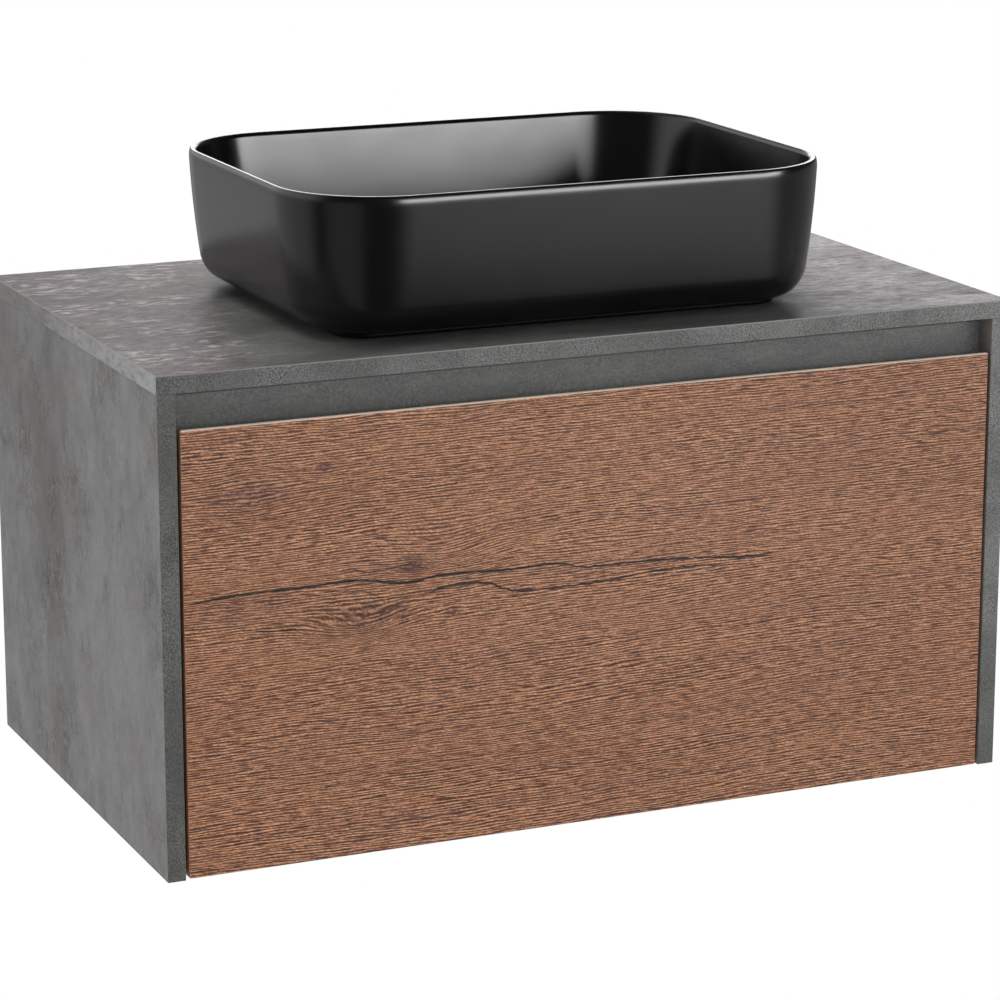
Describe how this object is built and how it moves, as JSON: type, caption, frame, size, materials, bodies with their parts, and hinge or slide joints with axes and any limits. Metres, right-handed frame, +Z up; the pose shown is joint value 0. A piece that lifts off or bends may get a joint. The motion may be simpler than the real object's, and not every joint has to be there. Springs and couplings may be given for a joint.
{
  "type": "vessel sink on vanity",
  "caption": "Wall-hung bathroom vanity: concrete-look carcass, oak-look drawer on telescopic slides, finger-gap grip, and a black rounded-rectangular vessel basin on the worktop.",
  "frame": {"origin": "on the wall plane, at the middle of the back face of the hanging rail", "axes": "+X to the right along the width as seen from the front, +Y into the wall so that the front faces -Y, +Z up"},
  "size_m": [0.8, 0.475, 0.562],
  "materials": {
    "concrete_laminate": "chipboard with a matt concrete-look laminate, cloudy mid grey",
    "oak_laminate": "chipboard with a matt embossed rustic-oak laminate, warm brown",
    "lining_board": "chipboard with a plain warm grey melamine face, matt",
    "black_ceramic": "satin black glaze",
    "zinc_steel": "bright zinc plate, slightly cloudy",
    "white_plastic": "moulded, fine texture",
    "rubber": "matt black",
    "chrome": "polished chrome plate"
  },
  "bodies": {
    "cabinet": {"worktop": "concrete_laminate", "side_panel_left": "concrete_laminate", "side_panel_right": "concrete_laminate", "bottom_panel": "lining_board", "grip_rail": "concrete_laminate", "rear_top_rail": "lining_board", "rear_bottom_rail": "lining_board", "wall_rail": "zinc_steel", "hanger_housing_left": "white_plastic", "hanger_housing_right": "white_plastic", "hanger_hook_left": "zinc_steel", "hanger_hook_right": "zinc_steel", "hanger_screw_left": "zinc_steel", "hanger_screw_right": "zinc_steel", "slide_outer_left": "zinc_steel", "slide_outer_right": "zinc_steel", "basin": "black_ceramic", "waste_gasket": "rubber", "worktop_gasket": "rubber", "backnut_washer": "rubber", "waste_backnut": "zinc_steel", "waste_body": "chrome", "plug_cartridge": "white_plastic", "trap_inlet_nut": "chrome", "trap_dip_tube": "chrome", "trap_body": "chrome", "trap_cup": "chrome", "trap_outlet_nut": "chrome", "trap_outlet_pipe": "chrome", "wall_rosette": "chrome"},
    "drawer": {"drawer_front": "oak_laminate", "drawer_side_left": "lining_board", "drawer_side_right": "lining_board", "drawer_back_left": "lining_board", "drawer_back_right": "lining_board", "drawer_bottom": "lining_board", "cutout_front": "lining_board", "cutout_side_left": "lining_board", "cutout_side_right": "lining_board", "front_bracket_left": "zinc_steel", "front_bracket_right": "zinc_steel", "slide_inner_left": "zinc_steel", "slide_inner_right": "zinc_steel"},
    "waste_plug": {"plug_cap": "chrome", "plug_stem": "chrome"},
    "slide_middle_left": {"slide_middle_left": "zinc_steel"},
    "outer_cage_left": {"ball_cage_outer_left": "zinc_steel"},
    "inner_cage_left": {"ball_cage_inner_left": "zinc_steel"},
    "slide_middle_right": {"slide_middle_right": "zinc_steel"},
    "outer_cage_right": {"ball_cage_outer_right": "zinc_steel"},
    "inner_cage_right": {"ball_cage_inner_right": "zinc_steel"}
  },
  "joints": [
    {"name": "drawer_slide", "type": "slide", "parent": "cabinet", "child": "drawer", "axis": [0, -1, 0], "range_m": [0, 0.38]},
    {"name": "plug_lift", "type": "slide", "parent": "cabinet", "child": "waste_plug", "axis": [0, 0, 1], "range_m": [0, 0.009]},
    {"name": "slide_middle_left_travel", "type": "slide", "parent": "cabinet", "child": "slide_middle_left", "axis": [0, -1, 0], "range_m": [0, 0.19]},
    {"name": "outer_cage_left_travel", "type": "slide", "parent": "cabinet", "child": "outer_cage_left", "axis": [0, -1, 0], "range_m": [0, 0.095]},
    {"name": "inner_cage_left_travel", "type": "slide", "parent": "cabinet", "child": "inner_cage_left", "axis": [0, -1, 0], "range_m": [0, 0.285]},
    {"name": "slide_middle_right_travel", "type": "slide", "parent": "cabinet", "child": "slide_middle_right", "axis": [0, -1, 0], "range_m": [0, 0.19]},
    {"name": "outer_cage_right_travel", "type": "slide", "parent": "cabinet", "child": "outer_cage_right", "axis": [0, -1, 0], "range_m": [0, 0.095]},
    {"name": "inner_cage_right_travel", "type": "slide", "parent": "cabinet", "child": "inner_cage_right", "axis": [0, -1, 0], "range_m": [0, 0.285]}
  ],
  "couplings": [
    {"joint": "slide_middle_left_travel", "follows": "drawer_slide", "ratio": 0.5},
    {"joint": "outer_cage_left_travel", "follows": "drawer_slide", "ratio": 0.25},
    {"joint": "inner_cage_left_travel", "follows": "drawer_slide", "ratio": 0.75},
    {"joint": "slide_middle_right_travel", "follows": "drawer_slide", "ratio": 0.5},
    {"joint": "outer_cage_right_travel", "follows": "drawer_slide", "ratio": 0.25},
    {"joint": "inner_cage_right_travel", "follows": "drawer_slide", "ratio": 0.75}
  ]
}
